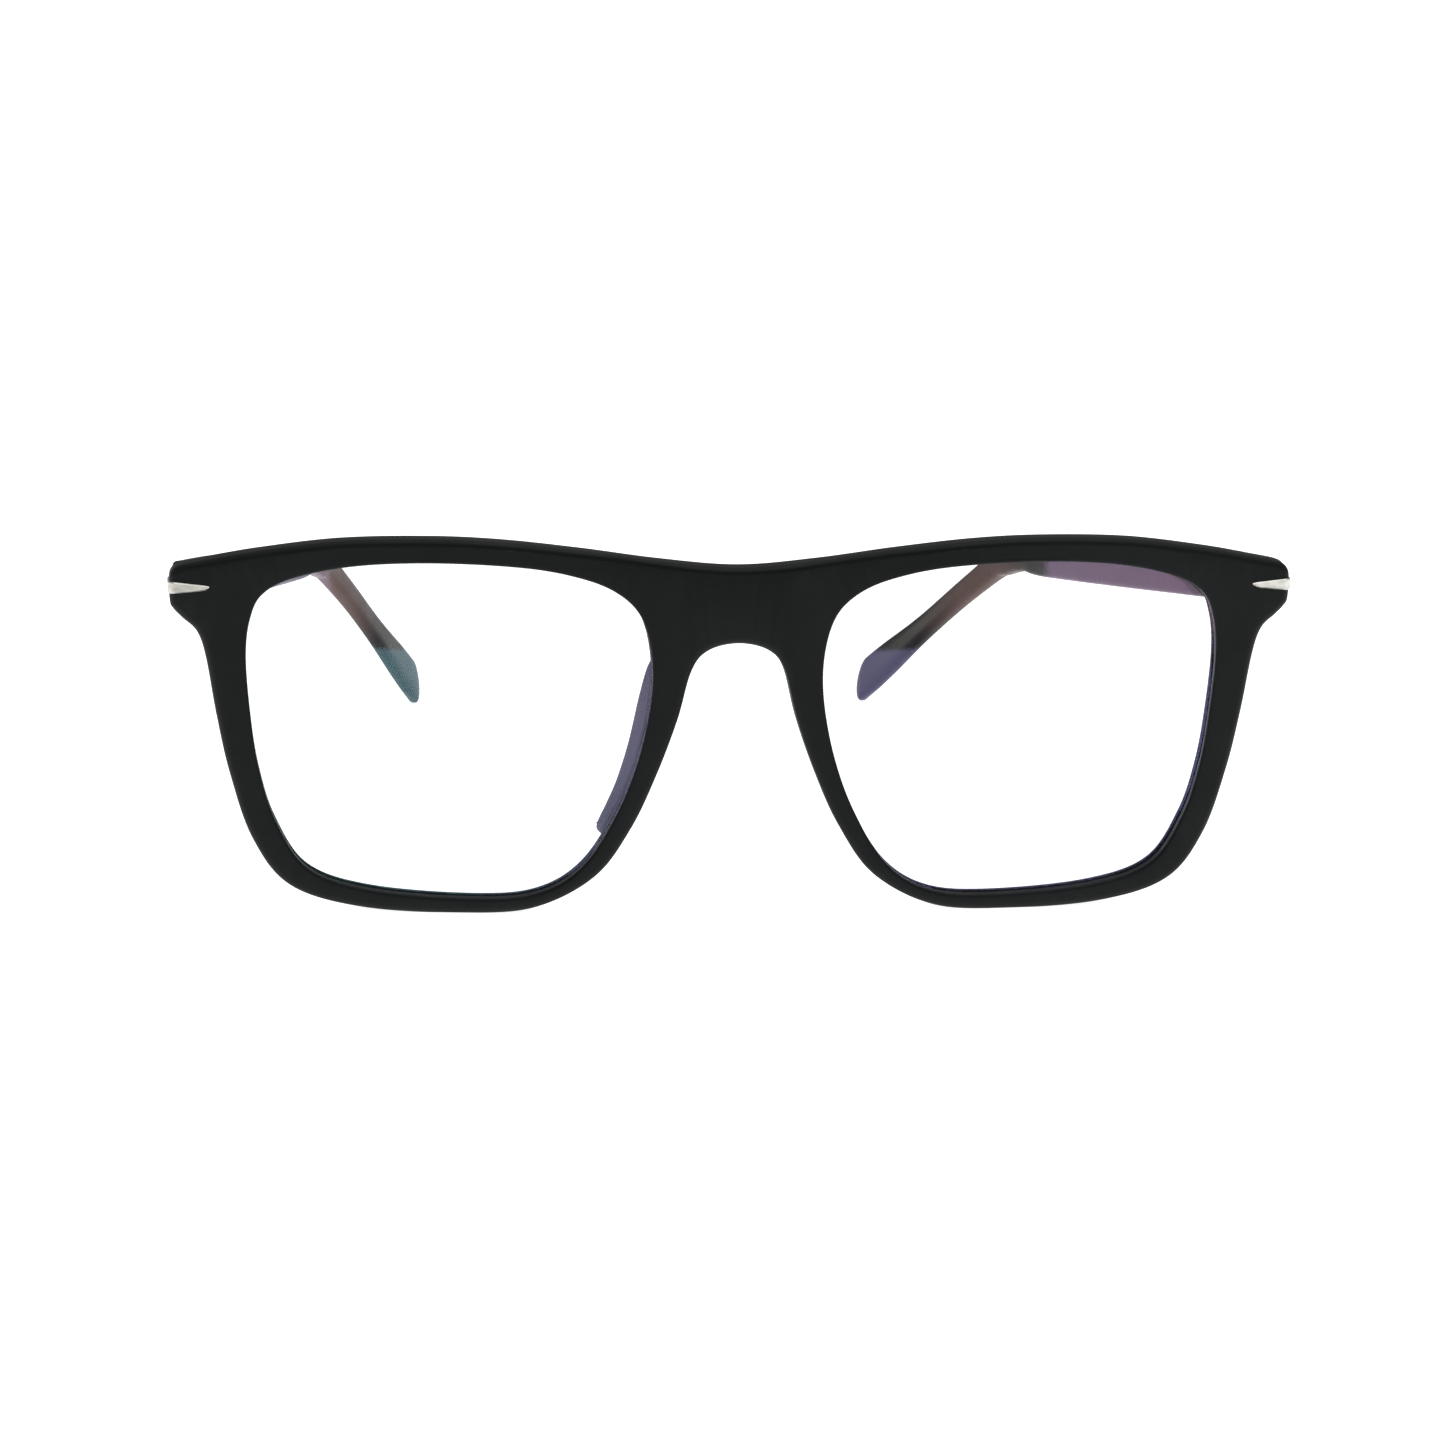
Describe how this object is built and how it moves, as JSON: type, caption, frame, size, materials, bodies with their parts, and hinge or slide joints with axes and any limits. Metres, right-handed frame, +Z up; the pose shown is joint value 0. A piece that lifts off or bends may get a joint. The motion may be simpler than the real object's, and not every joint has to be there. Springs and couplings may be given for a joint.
{
  "type": "glasses",
  "caption": "Full-rim rectangular glasses with clear coated lenses, matt plastic front, silver corner wedges and two folding temples on barrel hinges.",
  "frame": {"origin": "middle of the footprint, on the plane that the rims and temple tips rest on", "axes": "+Z up, +Y from the front towards the ears, +X to the right of someone looking at the front; left and right in names are that viewer's"},
  "size_m": [0.1434, 0.1378, 0.048],
  "materials": {
    "front_plastic": "matt black, slightly cool",
    "lens": "clear, with a blue-violet to teal coating glint",
    "pad": "soft matt dark grey",
    "trim": "silver, finely brushed",
    "hinge_metal": "nickel silver, satin",
    "screw_metal": "bright steel",
    "temple_plastic": "glossy brown-black",
    "wire": "drawn steel"
  },
  "bodies": {
    "front": {"front_frame": "front_plastic", "lens_left": "lens", "lens_right": "lens", "nose_pad_left": "pad", "nose_pad_right": "pad", "corner_trim_left": "trim", "corner_trim_right": "trim", "front_leaf_left": "hinge_metal", "front_leaf_right": "hinge_metal", "front_rivets_left": "screw_metal", "front_rivets_right": "screw_metal", "hinge_screw_left": "screw_metal", "hinge_screw_right": "screw_metal"},
    "temple_left_arm": {"temple_left": "temple_plastic", "temple_leaf_left": "hinge_metal", "temple_rivets_left": "screw_metal", "core_wire_left": "wire"},
    "temple_right_arm": {"temple_right": "temple_plastic", "temple_leaf_right": "hinge_metal", "temple_rivets_right": "screw_metal", "core_wire_right": "wire"}
  },
  "joints": [
    {"name": "temple_left_fold", "type": "hinge", "parent": "front", "child": "temple_left_arm", "pos_m": [-0.0652, -0.0563, 0.0407], "axis": [0, -0.1374, -0.9905], "range_deg": [-12.8, 73.7]},
    {"name": "temple_right_fold", "type": "hinge", "parent": "front", "child": "temple_right_arm", "pos_m": [0.0652, -0.0563, 0.0407], "axis": [0, 0.1374, 0.9905], "range_deg": [-12.8, 60.7]}
  ]
}
